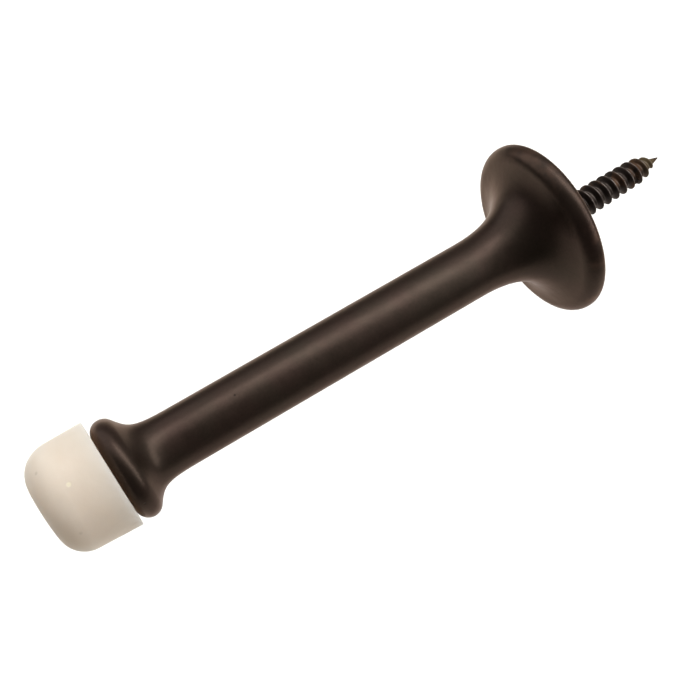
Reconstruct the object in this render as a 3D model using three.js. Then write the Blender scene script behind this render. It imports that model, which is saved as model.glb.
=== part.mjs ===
// A rigid door stop that screws into a skirting board: a trumpet-shaped painted casting, a push-fit rubber
// tip and a double-ended screw. Millimetres, +Z up.
//
// The origin is on the wall plane, on the axis, where the screw leaves the base. The axis lies along Y:
// the screw runs to +Y into the wall, and the stop stands out to -Y. Every solid is turned about this axis.
// Outlines give a distance out from the wall and a radius.
import * as THREE from 'three';

// ---------- driving dimensions ----------

const projection = 77.2;                 // wall to the front of the rubber tip
const baseRadius = 12.7;                 // one-inch base
const tipRadius = 7.38;                  // the rubber tip, where it meets the casting
const tipHeadLength = 9.3;
const shaftRadius = { atBase: 4.05, atTip: 3.96 };   // a slight casting draft
const gap = 0.3;                         // clearance between pieces that touch on the real object

// base flange
const base = {
  backCorner: 0.9,                       // radius of the edge on the wall
  rimThickness: 1.1,                     // height of the rim's widest line above the wall
  rimFront: { axial: 1.8, radial: 2.0 },
  rimFrontStopsAt: 9,                    // degrees; the flare leaves the rim's rounding here
  flareLength: 13.9,                     // wall to where the flare has become the straight shaft
  flarePull: { atRim: 5.1, atShaft: 6.6 },
};

// recess in the back of the base, cored out to leave a rim and a boss
const recess = { rimInnerRadius: 10.6, bossRadius: 4.7, depth: 1.1, draft: 0.3 };

// flange that backs the rubber tip
const tipFlange = {
  radius: 6.92,
  edgeRadius: 1.72,                      // its edge is one full round
  neckLength: 9.6,                       // flange face to where the neck has become the shaft
  edgeStopsAt: 143,                      // degrees; the neck leaves the round edge here
  neckPull: { atShaft: 4.9, atEdge: 2.3 },
};

// push-fit stem of the rubber tip, and its socket in the casting
const stem = {
  coreRadius: 1.8,
  ribRadius: 2.2,
  length: 7.7,
  ribs: 3,
  ribSpacing: 2.1,
  ribBack: 0.3,                          // steep side of a rib, towards the head
  ribLead: 1.3,                          // gentle side, which enters first
  leadLength: 1.2,
};
const socketChamfer = 0.4;

// shoulder of the rubber tip, a quarter of an ellipse
const tipShoulder = { axial: 3.9, radial: 3.7, sideRadius: 7.2 };

// screw
const screw = {
  heldLength: 11.7,                      // inside the base
  shankRadius: 2.0,
  shankOut: 1.6,                         // plain shank past the wall plane
  crestRadius: 2.13,
  rootRadius: 1.38,
  bodyTaper: 0.026,                      // radius lost per millimetre past taperFrom
  taperFrom: 8,
  pointFrom: 15.8,                       // the thread shrinks from here, and is gone at pointTo
  pointTo: 20.4,
  pointPower: 2.4,                       // how bluntly it shrinks
  length: 21,                            // wall plane to the tip of the gimlet point
  spikeTipRadius: 0.08,
  spikeSlope: 0.3,                       // radius gained per millimetre back from the tip
  pitch: 1.5,
  turnOffset: 0.385,                     // turns; sets where round the screw the thread starts
  crestWidth: 0.12,                      // parts of one pitch
  flankWidth: 0.25,
  rowsPerPitch: 7,
  chamfer: 0.5,
};
const screwHoleChamfer = 0.4;

// segments round the axis
const facets = { casting: 56, tip: 48, screw: 24 };

const flangeFace = projection - tipHeadLength;
const screwHoleRadius = screw.shankRadius + gap;
const socketRadius = stem.ribRadius + gap;

// ---------- outline helpers ----------

// A point of an outline: LatheGeometry turns (radius, y) about the Y axis.
const at = (fromWall, radius) => new THREE.Vector2(radius, -fromWall);

// Points of an ellipse's arc, in degrees: 0 points away from the wall, 90 points away from the axis.
function arc(fromWall, radius, axial, radial, startDegrees, endDegrees, steps) {
  return Array.from({ length: steps + 1 }, (_, i) => {
    const angle = THREE.MathUtils.degToRad(THREE.MathUtils.lerp(startDegrees, endDegrees, i / steps));
    return at(fromWall + axial * Math.cos(angle), radius + radial * Math.sin(angle));
  });
}

// Unit direction of an arc at an angle, as it runs towards larger angles.
function arcDirection(axial, radial, degrees) {
  const angle = THREE.MathUtils.degToRad(degrees);
  return at(-axial * Math.sin(angle), radial * Math.cos(angle)).normalize();
}

// Inner points of a cubic curve between two outline points, each end with its direction and pull.
function blend(start, startPull, end, endPull, steps) {
  const first = start.clone().add(startPull);
  const last = end.clone().add(endPull);
  return new THREE.CubicBezierCurve(start, first, last, end).getPoints(steps).slice(1, -1);
}

function mesh(name, geometry, colour, roughness, metalness) {
  const material = new THREE.MeshStandardMaterial({ color: colour, roughness, metalness });
  const result = new THREE.Mesh(geometry, material);
  result.name = name;
  return result;
}

// ---------- casting: base flange, shaft and tip flange in one piece ----------

function tipFlangeEdge() {
  const { radius, edgeRadius, edgeStopsAt } = tipFlange;
  return arc(flangeFace - edgeRadius, radius - edgeRadius, edgeRadius, edgeRadius, 0, edgeStopsAt, 8);
}

function neck(edgeEnd) {
  const { edgeRadius, edgeStopsAt, neckPull, neckLength } = tipFlange;
  const shaftEnd = at(flangeFace - neckLength, shaftRadius.atTip);
  const fromEdge = arcDirection(edgeRadius, edgeRadius, edgeStopsAt).multiplyScalar(neckPull.atEdge);
  return [...blend(edgeEnd, fromEdge, shaftEnd, at(neckPull.atShaft, 0), 7), shaftEnd];
}

function baseRim() {
  const { backCorner, rimThickness, rimFront, rimFrontStopsAt } = base;
  const frontCentreRadius = baseRadius - rimFront.radial;
  return [
    ...arc(rimThickness, frontCentreRadius, rimFront.axial, rimFront.radial, rimFrontStopsAt, 90, 7),
    ...arc(backCorner, baseRadius - backCorner, backCorner, backCorner, 90, 180, 4),
  ];
}

function flare(rimStart) {
  const { rimFront, rimFrontStopsAt, flarePull, flareLength } = base;
  const shaftEnd = at(flareLength, shaftRadius.atBase);
  const alongRim = arcDirection(rimFront.axial, rimFront.radial, rimFrontStopsAt);
  const fromRim = alongRim.multiplyScalar(-flarePull.atRim);
  return [shaftEnd, ...blend(shaftEnd, at(-flarePull.atShaft, 0), rimStart, fromRim, 12)];
}

function castingOutline() {
  const socketBottom = flangeFace - stem.length - gap;
  const holeBottom = screw.heldLength + gap;
  const edge = tipFlangeEdge();
  const rim = baseRim();
  return [
    at(socketBottom, 0),
    at(socketBottom, socketRadius),
    at(flangeFace - socketChamfer, socketRadius),
    at(flangeFace, socketRadius + socketChamfer),
    ...edge,
    ...neck(edge.at(-1)),
    ...flare(rim[0]),
    ...rim,
    at(0, recess.rimInnerRadius),
    at(recess.depth, recess.rimInnerRadius - recess.draft),
    at(recess.depth, recess.bossRadius + recess.draft),
    at(0, recess.bossRadius),
    at(0, screwHoleRadius + screwHoleChamfer),
    at(screwHoleChamfer, screwHoleRadius),
    at(holeBottom, screwHoleRadius),
    at(holeBottom, 0),
  ];
}

// ---------- rubber tip: a blunt head and a ribbed push-in stem ----------

function stemOutline(headBack) {
  const { coreRadius, ribRadius, length, ribs, ribSpacing, ribBack, ribLead, leadLength } = stem;
  const end = flangeFace - length;
  const ribPoints = [];
  for (let i = ribs - 1; i >= 0; i -= 1) {
    const peak = end + leadLength + i * ribSpacing;
    ribPoints.push(at(peak + ribBack, coreRadius), at(peak, ribRadius));
    if (i > 0) ribPoints.push(at(peak - ribLead, coreRadius));
  }
  return [at(headBack, coreRadius), ...ribPoints, at(end, coreRadius - 0.3 * leadLength), at(end, 0)];
}

function rubberTipOutline() {
  const headBack = flangeFace + gap;
  const { axial, radial, sideRadius } = tipShoulder;
  const shoulder = arc(projection - axial, sideRadius - radial, axial, radial, 0, 90, 10);
  return [at(projection, 0), ...shoulder, at(headBack, tipRadius), ...stemOutline(headBack)];
}

// ---------- screw: a plain held end and a tapered wood thread with a gimlet point ----------

// Outer size of the thread at a distance past the wall, as a part of its full size.
function threadScale(pastWall) {
  const body = 1 - (screw.bodyTaper / screw.crestRadius) * Math.max(0, pastWall - screw.taperFrom);
  const intoPoint = (pastWall - screw.pointFrom) / (screw.pointTo - screw.pointFrom);
  return body * (1 - THREE.MathUtils.clamp(intoPoint, 0, 1) ** screw.pointPower);
}

// Height of the ridge at a place in the pitch: 1 on the crest, 0 in the root.
function ridge(phase) {
  const fromCrest = Math.abs(phase - Math.round(phase)) - screw.crestWidth / 2;
  return THREE.MathUtils.clamp(1 - fromCrest / screw.flankWidth, 0, 1);
}

function threadRadius(pastWall, angle) {
  const phase = pastWall / screw.pitch + screw.turnOffset - angle / (2 * Math.PI);
  const height = (screw.crestRadius - screw.rootRadius) * ridge(phase);
  const spike = screw.spikeTipRadius + screw.spikeSlope * (screw.length - pastWall);
  const point = pastWall > screw.pointFrom ? spike : 0;
  const threaded = Math.max((screw.rootRadius + height) * threadScale(pastWall), point);
  const runOut = THREE.MathUtils.clamp((pastWall - screw.shankOut) / screw.pitch, 0, 1);
  return THREE.MathUtils.lerp(screw.shankRadius, threaded, runOut);
}

// The rod is turned with one row of points for each step along the thread, and then each point of the
// threaded part is moved to its own radius.
function screwGeometry() {
  const threadLength = screw.length - screw.shankOut;
  const rows = Math.round((threadLength / screw.pitch) * screw.rowsPerPitch);
  const outline = [
    at(screw.heldLength, 0),
    at(screw.heldLength, screw.shankRadius - screw.chamfer),
    at(screw.heldLength - screw.chamfer, screw.shankRadius),
  ];
  for (let row = 0; row <= rows; row += 1) {
    outline.push(at(-(screw.shankOut + (threadLength * row) / rows), screw.shankRadius));
  }
  outline.push(at(-screw.length, 0));

  const geometry = new THREE.LatheGeometry(outline, facets.screw);
  const position = geometry.getAttribute('position');
  for (let i = 0; i < position.count; i += 1) {
    const [x, y, z] = [position.getX(i), position.getY(i), position.getZ(i)];
    const radius = Math.hypot(x, z);
    if (y <= screw.shankOut || radius < gap) continue;
    const scale = threadRadius(y, Math.atan2(x, z)) / radius;
    position.setXYZ(i, x * scale, y, z * scale);
  }
  geometry.computeVertexNormals();
  return geometry;
}

// ---------- assembly ----------

const doorStop = new THREE.Group();
doorStop.add(
  mesh('stop_body', new THREE.LatheGeometry(castingOutline(), facets.casting), 0x2f2622, 0.42, 0.25),
  mesh('rubber_tip', new THREE.LatheGeometry(rubberTipOutline(), facets.tip), 0xd9cfbd, 0.5, 0),
  mesh('hanger_screw', screwGeometry(), 0x2b231f, 0.45, 0.6),
);

export default doorStop;
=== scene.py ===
"""Looks of a rigid door stop: dark bronze painted casting, off-white rubber tip, blackened wood screw.

Shapes are worked out in millimetres, as (distance out from the wall, radius) about the stop's axis,
which lies along Y with the wall at 0 and the room towards -Y.
"""

import math

import bmesh
import bpy
from mathutils import Matrix, Vector


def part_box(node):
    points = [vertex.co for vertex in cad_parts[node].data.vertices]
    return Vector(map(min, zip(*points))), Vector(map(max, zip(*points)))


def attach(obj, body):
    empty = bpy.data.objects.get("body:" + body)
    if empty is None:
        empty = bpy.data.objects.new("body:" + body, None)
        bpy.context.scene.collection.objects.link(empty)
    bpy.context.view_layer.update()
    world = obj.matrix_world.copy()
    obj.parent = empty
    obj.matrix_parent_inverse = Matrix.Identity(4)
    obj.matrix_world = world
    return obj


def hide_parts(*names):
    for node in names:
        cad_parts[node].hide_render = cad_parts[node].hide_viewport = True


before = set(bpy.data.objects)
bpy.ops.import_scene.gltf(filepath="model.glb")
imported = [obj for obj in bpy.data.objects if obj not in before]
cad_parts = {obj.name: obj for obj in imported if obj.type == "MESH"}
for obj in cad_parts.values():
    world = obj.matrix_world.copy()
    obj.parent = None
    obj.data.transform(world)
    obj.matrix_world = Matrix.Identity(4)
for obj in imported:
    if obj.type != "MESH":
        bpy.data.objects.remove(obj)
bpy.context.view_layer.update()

MM = 0.001

# ---------- sizes read from the frame, in millimetres ----------

casting_low, casting_high = (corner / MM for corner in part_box("stop_body"))
tip_low, tip_high = (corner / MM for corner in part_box("rubber_tip"))
screw_low, screw_high = (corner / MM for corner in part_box("hanger_screw"))

BASE_RADIUS = casting_high.x
FLANGE_FACE = -casting_low.y
PROJECTION = -tip_low.y
TIP_RADIUS = tip_high.x
STEM_LENGTH = FLANGE_FACE + tip_high.y
SCREW_LENGTH = screw_high.y
SCREW_HELD = -screw_low.y
CREST_RADIUS = screw_high.x

# ---------- sizes of the casting ----------

SHAFT_RADIUS_AT_BASE = 4.05
SHAFT_RADIUS_AT_TIP = 3.96
BACK_CORNER = 0.9
RIM_THICKNESS = 1.1
RIM_FRONT = (1.8, 2.0)
RIM_FRONT_STOPS_AT = 9
FLARE_LENGTH = 13.9
FLARE_PULL_AT_RIM = 5.1
FLARE_PULL_AT_SHAFT = 6.6
FLANGE_RADIUS = 6.92
FLANGE_EDGE_RADIUS = 1.72
FLANGE_EDGE_STOPS_AT = 143
NECK_LENGTH = 9.6
NECK_PULL_AT_SHAFT = 4.9
NECK_PULL_AT_EDGE = 2.3
SOCKET_RADIUS = 2.5
SOCKET_DEPTH = 8.0
HOLE_RADIUS = 2.3
HOLE_DEPTH = 12.0
MOUTH_CHAMFER = 0.4
RECESS_OUTER_RADIUS = 10.6
RECESS_DEPTH = 1.1
RECESS_DRAFT = 0.3
RECESS_FILLET = 0.35
BOSS_RADIUS = 4.7
FLANGE_SKEW = 0.03       # the tip flange is out of square: length along the axis for each across it

# ---------- sizes of the rubber tip ----------

TIP_SIDE_RADIUS = 7.2
TIP_SHOULDER = (3.9, 3.7)
TIP_BACK_EDGE = 0.12
STEM_CORE_RADIUS = 1.8
STEM_RIB_RADIUS = 2.2
STEM_RIBS = 3
STEM_RIB_SPACING = 2.1
STEM_RIB_BACK = 0.3
STEM_RIB_LEAD = 1.3
STEM_RIB_FILLET = 0.12
STEM_FOOT_FILLET = 0.3
STEM_LEAD = 1.2
STEM_LEAD_SLOPE = 0.3

# How the tip sits: how far its back stands off the flange, the skew of its front, how far the whole tip is
# off the axis, how much further for each millimetre in front of the flange, and how much the size of its
# shoulder varies from one side to the other.
TIP_CONTACT = 0.03
TIP_FRONT_SKEW = 0.045
TIP_SHIFT = 0.31
TIP_DRIFT = 0.02
TIP_UNEVEN = 0.14

# Places of the marks on the head, as x, y, z.
# A small dent on the head, painted lighter as a painted highlight.
NICK_AND_GLINT = (1.4, -72.7, 7.2)
SPECK_LOW = (5.7, -74.3, 3.4)
SPECK_HIGH = (-2.2, -75.3, 6.5)

# ---------- sizes of the screw ----------

SHANK_RADIUS = 2.0
SHANK_OUT = 1.6
ROOT_RADIUS = 1.38
BODY_TAPER = 0.026
TAPER_FROM = 8.0
POINT_FROM = 15.8
POINT_TO = 20.4
POINT_POWER = 2.4
SPIKE_TIP_RADIUS = 0.08
SPIKE_SLOPE = 0.3
PITCH = 1.5
TURN_OFFSET = 0.385
CREST_WIDTH = 0.12
FLANK_WIDTH = 0.25
SCREW_CHAMFER = 0.5
SCREW_LEAN = 1.4
SCREW_LEAN_PIVOT = 1.0

# The painted highlight lines along the thread, in parts of one pitch.
CREST_LINE = 0.05
FOOT_LINE = 0.06
FOOT_LINE_AT = 0.62
FOOT_LINE_BRIGHTNESS = 0.7

# ---------- where the painted rim highlight and the worn brass lie, in millimetres ---

# The rim bead is painted lighter brown in patches between these distances from the axis, as a painted
# highlight.
PAINTED_RIM_HIGHLIGHT_FROM_AXIS = (11.2, 12.4)
BRASS_FADES_IN = (16.6, 18.4)
BRASS_FADES_OUT = (19.6, 20.6)

# ---------- camera ----------

# The camera stands on the line through the shaft's axis at CAMERA_FOOT, CAMERA_REACH away from it.
CAMERA_FOOT = 67.17
CAMERA_REACH = 126.25
CAMERA_RISE = math.radians(65.694)
CAMERA_AZIMUTH = math.radians(56.73)
CAMERA_ELEVATION = math.radians(62.26)
CAMERA_LENS = 50.82

# Unit directions across the shaft: towards the camera, and towards the lower side of its picture.
TOWARDS_CAMERA = Vector((math.cos(CAMERA_RISE), 0, math.sin(CAMERA_RISE)))
ACROSS_SHAFT = Vector((math.sin(CAMERA_RISE), 0, -math.cos(CAMERA_RISE)))

# ---------- room ----------

AIM = Vector((0, -35, 0))
DAYLIGHT = (0.87, 0.92, 0.97)
ROOM_DARK = 0.09
ROOM_LIGHT = 0.5
FLOOR_RADIUS = 700
FLOOR_DROP = 220
# A darker round patch painted on the floor beneath the stop: painted shade.
PAINTED_SHADE_CENTRE = (100, 40, 0)
PAINTED_SHADE_RADIUS = 260


# ---------- outlines ----------

def arc(centre, radii, start, end, steps):
    """Points of an ellipse's arc: 0 degrees points away from the wall, 90 away from the axis."""
    points = []
    for i in range(steps + 1):
        angle = math.radians(start + (end - start) * i / steps)
        points.append((centre[0] + radii[0] * math.cos(angle), centre[1] + radii[1] * math.sin(angle)))
    return points


def arc_direction(radii, degrees):
    """Unit direction of an arc as it runs towards larger angles."""
    angle = math.radians(degrees)
    return Vector((-radii[0] * math.sin(angle), radii[1] * math.cos(angle))).normalized()


def blend(start, start_pull, end, end_pull, steps):
    """Inner points of a cubic curve between two points, each end with its own direction and pull."""
    start, end = Vector(start), Vector(end)
    first, last = start + Vector(start_pull), end + Vector(end_pull)
    points = []
    for i in range(1, steps):
        t = i / steps
        point = (1 - t) ** 3 * start + 3 * (1 - t) ** 2 * t * first + 3 * (1 - t) * t**2 * last + t**3 * end
        points.append(tuple(point))
    return points


def straight(start, end, steps):
    """Inner points of a straight stretch."""
    return [tuple(Vector(start).lerp(Vector(end), i / steps)) for i in range(1, steps)]


def fillet(before, corner, after, radius, steps=5):
    """A rounded corner, as points that turn from one side to the other."""
    corner = Vector(corner)
    start = corner + (Vector(before) - corner).normalized() * radius
    end = corner + (Vector(after) - corner).normalized() * radius
    return [tuple(start.lerp(corner, i / steps).lerp(corner.lerp(end, i / steps), i / steps))
            for i in range(steps + 1)]


# ---------- meshes ----------

def finish_mesh(name, bm, sharp_degrees=35):
    """Merges what meets, turns the faces outwards and shades smoothly between sharp edges."""
    bmesh.ops.remove_doubles(bm, verts=bm.verts, dist=1e-7)
    bmesh.ops.recalc_face_normals(bm, faces=bm.faces)
    mesh = bpy.data.meshes.new(name)
    bm.to_mesh(mesh)
    bm.free()
    mesh.shade_smooth()
    mesh.set_sharp_from_angle(angle=math.radians(sharp_degrees))
    piece = bpy.data.objects.new(name, mesh)
    bpy.context.scene.collection.objects.link(piece)
    return piece


def turned(name, outline, segments):
    """Turns an outline that starts and ends on the axis about the Y axis."""
    bm = bmesh.new()
    rings = []
    for from_wall, radius in outline:
        count = segments if radius > 1e-6 else 1
        ring = []
        for i in range(count):
            angle = 2 * math.pi * i / segments
            place = Vector((radius * math.sin(angle), -from_wall, radius * math.cos(angle)))
            ring.append(bm.verts.new(place * MM))
        rings.append(ring)
    for near, far in zip(rings, rings[1:]):
        for i in range(segments):
            j = (i + 1) % segments
            corners = [near[i % len(near)], near[j % len(near)], far[j % len(far)], far[i % len(far)]]
            face = [v for k, v in enumerate(corners) if v not in corners[:k]]
            if len(face) > 2:
                bm.faces.new(face)
    return finish_mesh(name, bm)


# ---------- casting ----------

def tip_flange_edge():
    centre = (FLANGE_FACE - FLANGE_EDGE_RADIUS, FLANGE_RADIUS - FLANGE_EDGE_RADIUS)
    return arc(centre, (FLANGE_EDGE_RADIUS, FLANGE_EDGE_RADIUS), 0, FLANGE_EDGE_STOPS_AT, 28)


def neck(edge_end):
    shaft_end = (FLANGE_FACE - NECK_LENGTH, SHAFT_RADIUS_AT_TIP)
    from_edge = arc_direction((1, 1), FLANGE_EDGE_STOPS_AT) * NECK_PULL_AT_EDGE
    return blend(edge_end, from_edge, shaft_end, (NECK_PULL_AT_SHAFT, 0), 28) + [shaft_end]


def flare(rim_start):
    shaft_end = (FLARE_LENGTH, SHAFT_RADIUS_AT_BASE)
    direction = arc_direction(RIM_FRONT, RIM_FRONT_STOPS_AT)
    from_rim = -direction * FLARE_PULL_AT_RIM
    return [shaft_end] + blend(shaft_end, (-FLARE_PULL_AT_SHAFT, 0), rim_start, from_rim, 72)


def base_rim():
    front_centre = (RIM_THICKNESS, BASE_RADIUS - RIM_FRONT[1])
    back_centre = (BACK_CORNER, BASE_RADIUS - BACK_CORNER)
    front = arc(front_centre, RIM_FRONT, RIM_FRONT_STOPS_AT, 90, 14)
    return front + arc(back_centre, (BACK_CORNER, BACK_CORNER), 90, 180, 14)


def base_back():
    """The seating ring, the shallow recess inside it and the boss round the screw."""
    ring_inner = (0, RECESS_OUTER_RADIUS)
    outer_floor = (RECESS_DEPTH, RECESS_OUTER_RADIUS - RECESS_DRAFT)
    inner_floor = (RECESS_DEPTH, BOSS_RADIUS + RECESS_DRAFT)
    boss_edge = (0, BOSS_RADIUS)
    hole_edge = (0, HOLE_RADIUS + MOUTH_CHAMFER)
    seat = (0, BASE_RADIUS - BACK_CORNER)
    return (
        fillet(seat, ring_inner, outer_floor, RECESS_FILLET / 2)
        + fillet(ring_inner, outer_floor, inner_floor, RECESS_FILLET)
        + fillet(outer_floor, inner_floor, boss_edge, RECESS_FILLET)
        + fillet(inner_floor, boss_edge, hole_edge, RECESS_FILLET / 2)
        + [hole_edge, (MOUTH_CHAMFER, HOLE_RADIUS), (HOLE_DEPTH, HOLE_RADIUS), (HOLE_DEPTH, 0)]
    )


def casting_outline():
    edge = tip_flange_edge()
    rim = base_rim()
    neck_points = neck(edge[-1])
    flare_points = flare(rim[0])
    socket = [
        (FLANGE_FACE - SOCKET_DEPTH, 0),
        (FLANGE_FACE - SOCKET_DEPTH, SOCKET_RADIUS),
        (FLANGE_FACE - MOUTH_CHAMFER, SOCKET_RADIUS),
        (FLANGE_FACE, SOCKET_RADIUS + MOUTH_CHAMFER),
    ]
    shaft = straight(neck_points[-1], flare_points[0], 24)
    return socket + edge + neck_points + shaft + flare_points + rim + base_back()


def lean_flange(mesh):
    """Sets the tip flange a little out of square, by skewing the neck and the flange along the axis."""
    for vertex in mesh.vertices:
        from_wall = -vertex.co.y / MM
        along_neck = (from_wall - FLANGE_FACE + NECK_LENGTH) / (NECK_LENGTH - FLANGE_EDGE_RADIUS)
        vertex.co.y += FLANGE_SKEW * min(1, max(0, along_neck)) * vertex.co.dot(ACROSS_SHAFT)


def make_casting():
    piece = turned("casting", casting_outline(), 192)
    lean_flange(piece.data)
    piece.data.materials.append(bronze_paint())
    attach(piece, "stop_body")
    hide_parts("stop_body")
    return piece


# ---------- rubber tip ----------

def stem_outline(head_back):
    end = FLANGE_FACE - STEM_LENGTH
    foot = (head_back, STEM_CORE_RADIUS)
    points = fillet((head_back, TIP_RADIUS), foot, (end, STEM_CORE_RADIUS), STEM_FOOT_FILLET)
    for i in reversed(range(STEM_RIBS)):
        peak = end + STEM_LEAD + i * STEM_RIB_SPACING
        rib_back = (peak + STEM_RIB_BACK, STEM_CORE_RADIUS)
        rib_top = (peak, STEM_RIB_RADIUS)
        rib_foot = (peak - STEM_RIB_LEAD, STEM_CORE_RADIUS)
        points += [rib_back] + fillet(rib_back, rib_top, rib_foot, STEM_RIB_FILLET, 4)
        if i > 0:
            points.append(rib_foot)
    return points + [(end, STEM_CORE_RADIUS - STEM_LEAD_SLOPE * STEM_LEAD), (end, 0)]


def rubber_tip_outline():
    head_back = FLANGE_FACE + TIP_CONTACT
    axial, radial = TIP_SHOULDER
    centre = (PROJECTION - axial, TIP_SIDE_RADIUS - radial)
    shoulder = arc(centre, TIP_SHOULDER, 0, 90, 40)
    back_corner = fillet(shoulder[-1], (head_back, TIP_RADIUS), (head_back, 0), TIP_BACK_EDGE, 4)
    side = straight(shoulder[-1], back_corner[0], 10)
    return [(PROJECTION, 0)] + shoulder + side + back_corner + stem_outline(head_back)


def regrown(from_wall, radius, growth):
    """Where a point of the head moves to when its rounded shoulder is made larger or smaller."""
    axial, radial = TIP_SHOULDER
    start = PROJECTION - axial
    if from_wall > start:
        inset = TIP_SIDE_RADIUS - radius
        return PROJECTION - (PROJECTION - from_wall) * growth, TIP_SIDE_RADIUS - inset * growth
    along = (from_wall - FLANGE_FACE) / (start - FLANGE_FACE)
    return FLANGE_FACE + along * (PROJECTION - axial * growth - FLANGE_FACE), radius


def fit_head_askew(mesh):
    """Makes the head a little uneven, as moulded, and sets it a little askew on its flange."""
    for vertex in mesh.vertices:
        from_wall = -vertex.co.y / MM
        radius = math.hypot(vertex.co.x, vertex.co.z) / MM
        past_flange = max(0, from_wall - FLANGE_FACE)
        if past_flange > 0 and radius > 0:
            growth = 1 - TIP_UNEVEN * vertex.co.dot(ACROSS_SHAFT) / (radius * MM)
            from_wall, new_radius = regrown(from_wall, radius, growth)
            vertex.co *= new_radius / radius
        across = vertex.co.dot(ACROSS_SHAFT)
        skew = FLANGE_SKEW + (TIP_FRONT_SKEW - FLANGE_SKEW) * past_flange / (PROJECTION - FLANGE_FACE)
        vertex.co.y = -from_wall * MM + skew * across
        vertex.co -= ACROSS_SHAFT * (TIP_SHIFT + TIP_DRIFT * past_flange) * MM


def make_rubber_tip():
    piece = turned("rubber_bumper", rubber_tip_outline(), 160)
    piece.data.materials.append(cream_rubber())
    fit_head_askew(piece.data)
    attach(piece, "rubber_tip")
    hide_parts("rubber_tip")
    return piece


# ---------- screw ----------

def thread_scale(past_wall):
    """Outer size of the thread at a distance past the wall, as a part of its full size."""
    body = 1 - BODY_TAPER / CREST_RADIUS * max(0, past_wall - TAPER_FROM)
    into_point = max(0, min(1, (past_wall - POINT_FROM) / (POINT_TO - POINT_FROM)))
    return body * (1 - into_point ** POINT_POWER)


def ridge(phase):
    """Height of the ridge at a place in the pitch: 1 on the crest, 0 in the root, with soft corners."""
    from_crest = abs(phase - round(phase)) - CREST_WIDTH / 2
    height = max(0, min(1, 1 - from_crest / FLANK_WIDTH))
    rounded = height * height * (3 - 2 * height)
    return (height + rounded) / 2


def painted_highlight_lines(phase):
    """How bright the thread's painted highlight lines are: most along the crest, and less at the foot of a
    flank.
    """
    place = phase - math.floor(phase)
    crest = 1 - min(place, 1 - place) / CREST_LINE
    foot = FOOT_LINE_BRIGHTNESS * (1 - abs(place - FOOT_LINE_AT) / FOOT_LINE)
    return max(0, crest, foot)


def thread_radius(past_wall, phase):
    height = (CREST_RADIUS - ROOT_RADIUS) * ridge(phase)
    threaded = (ROOT_RADIUS + height) * thread_scale(past_wall)
    if past_wall > POINT_FROM:
        threaded = max(threaded, SPIKE_TIP_RADIUS + SPIKE_SLOPE * (SCREW_LENGTH - past_wall))
    run_out = max(0, min(1, (past_wall - SHANK_OUT) / PITCH))
    return SHANK_RADIUS + (threaded - SHANK_RADIUS) * run_out


def screw_vertex(bm, past_wall, radius, angle, brightness=0.0):
    """A vertex that also carries how bright the painted highlight is there."""
    place = Vector((radius * math.sin(angle), past_wall, radius * math.cos(angle)))
    vertex = bm.verts.new(place * MM)
    vertex[bm.verts.layers.float["painted_highlight"]] = brightness
    return vertex


def thread_columns(bm, start, segments, rows_per_pitch):
    """A grid wound round the rod, so that its rows follow the thread."""
    turns = math.ceil((SCREW_LENGTH - start) / PITCH) + 1
    columns = []
    for i in range(segments + 1):
        turn = i / segments
        column = []
        for row in range(turns * rows_per_pitch):
            phase = row / rows_per_pitch
            past_wall = min(SCREW_LENGTH, start + (phase + turn) * PITCH)
            radius = thread_radius(past_wall, phase) if past_wall < SCREW_LENGTH else 0.0
            column.append(screw_vertex(bm, past_wall, radius, 2 * math.pi * turn, painted_highlight_lines(phase)))
        columns.append(column)
    return columns


def cover_thread(bm, columns):
    """Faces between the columns, apart from those that have shrunk to a line at the point."""
    for left, right in zip(columns, columns[1:]):
        for row in range(len(left) - 1):
            face = [left[row], left[row + 1], right[row + 1], right[row]]
            places = {tuple(round(c / (MM * 1e-4)) for c in v.co) for v in face}
            if len(places) > 2:
                bm.faces.new(face)


def held_end(bm, start, segments):
    """The plain end inside the base. Returns its ring nearest the thread."""
    stations = (
        (start - 0.2, SHANK_RADIUS),
        (-SCREW_HELD + SCREW_CHAMFER, SHANK_RADIUS),
        (-SCREW_HELD, SHANK_RADIUS - SCREW_CHAMFER),
    )
    rings = []
    for along, radius in stations:
        rings.append([screw_vertex(bm, along, radius, 2 * math.pi * i / segments) for i in range(segments)])
    for near, far in zip(rings, rings[1:]):
        for i in range(segments):
            j = (i + 1) % segments
            bm.faces.new([near[i], near[j], far[j], far[i]])
    bm.faces.new(rings[-1])
    return rings[0]


def join_held_end(bm, ring, columns, rows_per_pitch):
    """The thread's first edge climbs one pitch in a turn, so the last face takes in the whole step."""
    for i in range(len(ring) - 1):
        bm.faces.new([ring[i], ring[i + 1], columns[i + 1][0], columns[i][0]])
    step = [columns[0][row] for row in range(rows_per_pitch + 1)]
    bm.faces.new([ring[-1], ring[0]] + step + [columns[-2][0]])


def make_screw():
    segments, rows_per_pitch = 72, 20
    thread_start = (math.floor(SHANK_OUT / PITCH) - 1 - TURN_OFFSET) * PITCH
    bm = bmesh.new()
    bm.verts.layers.float.new("painted_highlight")
    columns = thread_columns(bm, thread_start, segments, rows_per_pitch)
    cover_thread(bm, columns)
    ring = held_end(bm, thread_start, segments)
    join_held_end(bm, ring, columns, rows_per_pitch)

    piece = finish_mesh("wood_screw", bm, 50)
    lean = Matrix.Rotation(math.radians(SCREW_LEAN), 4, TOWARDS_CAMERA)
    pivot = Matrix.Translation(Vector((0, SCREW_LEAN_PIVOT, 0)) * MM)
    piece.data.transform(pivot @ lean @ pivot.inverted())
    piece.data.materials.append(blackened_steel())
    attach(piece, "stop_body")
    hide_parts("hanger_screw")
    return piece


# ---------- materials ----------

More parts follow.
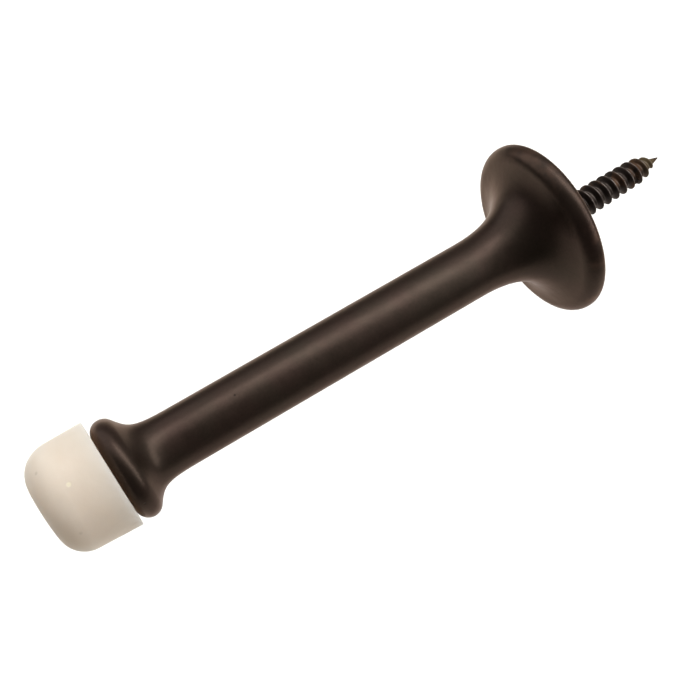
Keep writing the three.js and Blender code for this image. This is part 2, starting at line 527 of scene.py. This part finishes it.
class Nodes:
    """A small helper for building one material's node tree."""

    def __init__(self, name):
        self.material = bpy.data.materials.new(name)
        self.material.use_nodes = True
        self.tree = self.material.node_tree
        self.shader = self.tree.nodes["Principled BSDF"]
        self.place = self.add("ShaderNodeTexCoord").outputs["Object"]

    def add(self, kind, settings=None, **inputs):
        node = self.tree.nodes.new(kind)
        for key, value in (settings or {}).items():
            setattr(node, key, value)
        for key, value in inputs.items():
            self.feed(node.inputs[key.replace("_", " ")], value)
        return node

    def feed(self, socket, value):
        if isinstance(value, bpy.types.NodeSocket):
            self.tree.links.new(value, socket)
        else:
            socket.default_value = value

    def noise(self, size_mm, detail=3.0, roughness=0.5):
        """Noise whose lumps are about size_mm across."""
        node = self.add("ShaderNodeTexNoise", Vector=self.place, Scale=1 / (size_mm * MM),
                        Detail=detail, Roughness=roughness)
        return node.outputs["Fac"]

    def math(self, operation, a, b):
        node = self.add("ShaderNodeMath", {"operation": operation})
        self.feed(node.inputs[0], a)
        self.feed(node.inputs[1], b)
        return node.outputs[0]

    def between(self, value, low, high, to_low=0.0, to_high=1.0, smooth=False):
        """Maps the stretch from low to high onto another one, held at its ends."""
        kind = "SMOOTHSTEP" if smooth else "LINEAR"
        node = self.add("ShaderNodeMapRange", {"interpolation_type": kind, "clamp": True}, Value=value,
                        From_Min=low, From_Max=high, To_Min=to_low, To_Max=to_high)
        return node.outputs["Result"]

    def mix(self, factor, a, b):
        node = self.add("ShaderNodeMix", {"data_type": "RGBA"})
        self.feed(node.inputs[0], factor)
        self.feed(node.inputs[6], a)
        self.feed(node.inputs[7], b)
        return node.outputs[2]

    def spots(self, spacing_mm, radius_mm, share):
        """Sparse round spots: 1 inside a spot, 0 outside; a share of the random cells holds one."""
        cell = self.add("ShaderNodeTexVoronoi", Vector=self.place, Scale=1 / (spacing_mm * MM))
        reach = radius_mm / spacing_mm
        near = self.between(cell.outputs["Distance"], 0.5 * reach, reach, 1.0, 0.0, smooth=True)
        tone = self.add("ShaderNodeSeparateColor", Color=cell.outputs["Color"]).outputs[0]
        return self.math("MULTIPLY", near, self.math("LESS_THAN", tone, share))

    def mark(self, place_mm, radius_mm):
        """One round mark at a place on the surface: 1 in its middle, 0 outside."""
        away = self.add("ShaderNodeVectorMath", {"operation": "DISTANCE"})
        self.feed(away.inputs[0], self.place)
        self.feed(away.inputs[1], Vector(place_mm) * MM)
        reach = radius_mm * MM
        return self.between(away.outputs["Value"], 0.4 * reach, reach, 1.0, 0.0, smooth=True)

    def bump(self, height, distance_mm, strength=1.0, normal=None):
        node = self.add("ShaderNodeBump", Strength=strength, Distance=distance_mm * MM, Height=height)
        if normal is not None:
            self.feed(node.inputs["Normal"], normal)
        return node.outputs["Normal"]

    def finish(self, **inputs):
        for key, value in inputs.items():
            self.feed(self.shader.inputs[key.replace("_", " ")], value)
        return self.material


def bronze_paint():
    """Near-black baked paint: faint mottling, orange peel, small pits, and a rim painted lighter brown in
    patches as a painted highlight.
    """
    n = Nodes("bronze_paint")
    mottle = n.between(n.noise(6.0, 3.0), 0.35, 0.65)
    fine = n.between(n.noise(0.35, 4.0, 0.6), 0.3, 0.7)
    brown = n.mix(mottle, (0.0215, 0.0120, 0.0088, 1), (0.0185, 0.0130, 0.0086, 1))
    painted = n.mix(n.math("MULTIPLY", fine, 0.35), brown, (0.035, 0.021, 0.0158, 1))
    across = n.add("ShaderNodeVectorMath", {"operation": "MULTIPLY"})
    n.feed(across.inputs[0], n.place)
    n.feed(across.inputs[1], (1, 0, 1))
    from_axis = n.add("ShaderNodeVectorMath", {"operation": "LENGTH"})
    n.feed(from_axis.inputs[0], across.outputs[0])
    inner, outer = PAINTED_RIM_HIGHLIGHT_FROM_AXIS
    rim = n.between(from_axis.outputs["Value"], inner * MM, outer * MM, smooth=True)
    # Lighter brown patches on the rim bead: a painted highlight.
    painted_highlight_patches = n.math("MULTIPLY", rim, n.between(n.noise(3.2, 3.0), 0.48, 0.62))
    painted_highlight = n.mix(n.math("MULTIPLY", painted_highlight_patches, 0.6), painted, (0.062, 0.034, 0.023, 1))
    pits = n.spots(3.0, 0.16, 0.25)
    colour = n.mix(n.math("MULTIPLY", pits, 0.6), painted_highlight, (0.004, 0.003, 0.003, 1))
    roughness = n.between(n.noise(2.5, 3.0), 0.3, 0.7, 0.33, 0.40)
    peel = n.bump(n.noise(1.3, 2.0), 0.03, 0.6)
    pitted = n.bump(pits, -0.05, 0.8, peel)
    grain = n.bump(n.noise(0.12, 3.0, 0.6), 0.006, 0.7, pitted)
    return n.finish(Base_Color=colour, Metallic=0.6, Roughness=roughness, Specular_IOR_Level=0.36,
                    Specular_Tint=(0.95, 0.70, 0.57, 1), Normal=grain)


def cream_rubber():
    """Soft rubber that light sinks into, with specks of dirt and one small nick, dented and painted lighter
    as a painted highlight.
    """
    n = Nodes("cream_rubber")
    cloud = n.between(n.noise(4.0, 3.0), 0.35, 0.65)
    clean = n.mix(cloud, (0.512, 0.420, 0.332, 1), (0.537, 0.442, 0.352, 1))
    dirt = n.math("MAXIMUM", n.spots(2.4, 0.20, 0.3), n.mark(SPECK_LOW, 0.4))
    dirt = n.math("MAXIMUM", dirt, n.mark(SPECK_HIGH, 0.34))
    dirty = n.mix(n.math("MULTIPLY", dirt, 0.25), clean, (0.20, 0.15, 0.11, 1))
    nick_and_glint = n.mark(NICK_AND_GLINT, 0.40)
    # The nick's lighter colour is a painted highlight; its dent is a bump.
    colour = n.mix(n.math("MULTIPLY", nick_and_glint, 0.45), dirty, (0.72, 0.66, 0.46, 1))
    roughness = n.between(n.noise(1.5, 3.0), 0.3, 0.7, 0.50, 0.62)
    waves = n.bump(n.noise(3.0, 2.0), 0.06, 0.6)
    skin = n.bump(n.noise(0.4, 3.0), 0.010, 0.6, waves)
    dent = n.bump(nick_and_glint, -0.03, 0.5, skin)
    return n.finish(Base_Color=colour, Roughness=roughness, Specular_IOR_Level=0.3, Normal=dent,
                    Subsurface_Weight=1.0, Subsurface_Radius=(1.0, 0.95, 0.90), Subsurface_Scale=14 * MM)


def blackened_steel():
    """Black oxide, with painted highlight lines along the thread, rusty in patches and brassy near the
    point.
    """
    n = Nodes("blackened_steel")
    lines = n.add("ShaderNodeAttribute", {"attribute_name": "painted_highlight"}).outputs["Fac"]
    bright = n.math("MULTIPLY", lines, n.between(n.noise(0.9, 3.0), 0.36, 0.60))
    along = n.add("ShaderNodeSeparateXYZ", Vector=n.place).outputs["Y"]
    fade_in = n.between(along, BRASS_FADES_IN[0] * MM, BRASS_FADES_IN[1] * MM, smooth=True)
    fade_out = n.between(along, BRASS_FADES_OUT[0] * MM, BRASS_FADES_OUT[1] * MM, 1.0, 0.0, smooth=True)
    brass = n.math("MULTIPLY", n.math("MULTIPLY", fade_in, fade_out), 0.6)
    rust = n.math("MULTIPLY", n.between(n.noise(2.6, 3.0), 0.50, 0.66), 0.5)
    black = n.mix(n.noise(0.6, 3.0), (0.014, 0.0095, 0.0078, 1), (0.026, 0.0180, 0.0145, 1))
    rusty = n.mix(rust, black, (0.11, 0.050, 0.022, 1))
    brassy = n.mix(brass, rusty, (0.11, 0.075, 0.036, 1))
    # The lighter lines along the thread are painted highlights.
    colour = n.mix(bright, brassy, (0.20, 0.165, 0.14, 1))
    roughness = n.between(n.noise(0.5, 3.0), 0.3, 0.7, 0.42, 0.58)
    scale = n.bump(n.noise(0.45, 3.0), 0.03, 0.5)
    grain = n.bump(n.noise(0.12, 3.0), 0.01, 0.5, scale)
    return n.finish(Base_Color=colour, Roughness=roughness, Metallic=0.35, Specular_IOR_Level=0.2,
                    Specular_Tint=(0.95, 0.76, 0.64, 1), Normal=grain)


def floor_paper():
    """Pale paper, with painted shade beneath the stop: a darker round patch."""
    n = Nodes("floor_paper")
    pale = n.mix(n.noise(120.0, 2.0), (0.92, 0.87, 0.79, 1), (0.94, 0.89, 0.81, 1))
    painted_shade = n.mark(PAINTED_SHADE_CENTRE, PAINTED_SHADE_RADIUS)
    # The darker patch beneath the stop is painted shade.
    tone = n.mix(painted_shade, pale, (0.71, 0.67, 0.64, 1))
    return n.finish(Base_Color=tone, Roughness=0.9)


# ---------- stage ----------

def make_floor():
    bm = bmesh.new()
    bmesh.ops.create_circle(bm, cap_ends=True, segments=96, radius=FLOOR_RADIUS * MM)
    mesh = bpy.data.meshes.new("floor")
    bm.to_mesh(mesh)
    bm.free()
    floor = bpy.data.objects.new("floor", mesh)
    floor.location = (0, 0, -FLOOR_DROP * MM)
    mesh.materials.append(floor_paper())
    bpy.context.scene.collection.objects.link(floor)


def area_light(name, towards, distance, long_side, size, radiance, colour=(1, 1, 1)):
    """A rectangular softbox that faces the stop, turned so that its length runs a given way."""
    facing = Vector(towards).normalized()
    side = Vector(long_side)
    side = (side - facing * side.dot(facing)).normalized()
    data = bpy.data.lights.new(name, "AREA")
    data.shape = "RECTANGLE"
    data.size, data.size_y = size
    data.energy = radiance * math.pi * size[0] * size[1]
    data.color = colour
    light = bpy.data.objects.new(name, data)
    axes = Matrix((side, facing.cross(side), facing)).transposed().to_4x4()
    light.matrix_world = Matrix.Translation(AIM * MM + facing * distance) @ axes
    bpy.context.scene.collection.objects.link(light)


def make_world():
    """A dim room, lighter towards the wall's side; the camera sees a plain white backdrop instead."""
    world = bpy.data.worlds.new("studio")
    world.use_nodes = True
    nodes, links = world.node_tree.nodes, world.node_tree.links
    room = nodes["Background"]
    direction = nodes.new("ShaderNodeTexCoord").outputs["Generated"]
    split = nodes.new("ShaderNodeSeparateXYZ")
    links.new(direction, split.inputs[0])
    ramp = nodes.new("ShaderNodeMapRange")
    links.new(split.outputs["Y"], ramp.inputs["Value"])
    ramp.inputs["From Min"].default_value = 0.0
    ramp.inputs["To Min"].default_value = ROOM_DARK
    ramp.inputs["To Max"].default_value = ROOM_LIGHT
    links.new(ramp.outputs["Result"], room.inputs["Strength"])
    room.inputs["Color"].default_value = (1, 1, 1, 1)
    backdrop = nodes.new("ShaderNodeBackground")
    backdrop.inputs["Color"].default_value = (1, 1, 1, 1)
    backdrop.inputs["Strength"].default_value = 1.0
    seen = nodes.new("ShaderNodeMixShader")
    links.new(nodes.new("ShaderNodeLightPath").outputs["Is Camera Ray"], seen.inputs[0])
    links.new(room.outputs[0], seen.inputs[1])
    links.new(backdrop.outputs[0], seen.inputs[2])
    links.new(seen.outputs[0], nodes["World Output"].inputs["Surface"])
    bpy.context.scene.world = world


def make_lights():
    area_light("strip", (0.183, 0.522, 0.833), 1.5, (0.815, 0.58, 0), (3.4, 0.48), 8.4, DAYLIGHT)
    area_light("fill", (-0.6, -0.126, 0.79), 1.5, (0.756, 0.654, 0), (4.2, 1.75), 1.9, DAYLIGHT)
    bpy.context.scene.view_settings.view_transform = "Standard"


def make_camera():
    data = bpy.data.cameras.new("camera")
    data.lens = CAMERA_LENS
    data.clip_start = 0.01
    camera = bpy.data.objects.new("camera", data)
    foot = Vector((0, -CAMERA_FOOT, 0))
    camera.location = (foot + TOWARDS_CAMERA * CAMERA_REACH) * MM
    camera.rotation_euler = (math.pi / 2 - CAMERA_ELEVATION, 0, CAMERA_AZIMUTH)
    bpy.context.scene.collection.objects.link(camera)
    bpy.context.scene.camera = camera


make_camera()
make_casting()
make_rubber_tip()
make_screw()
make_floor()
make_world()
make_lights()
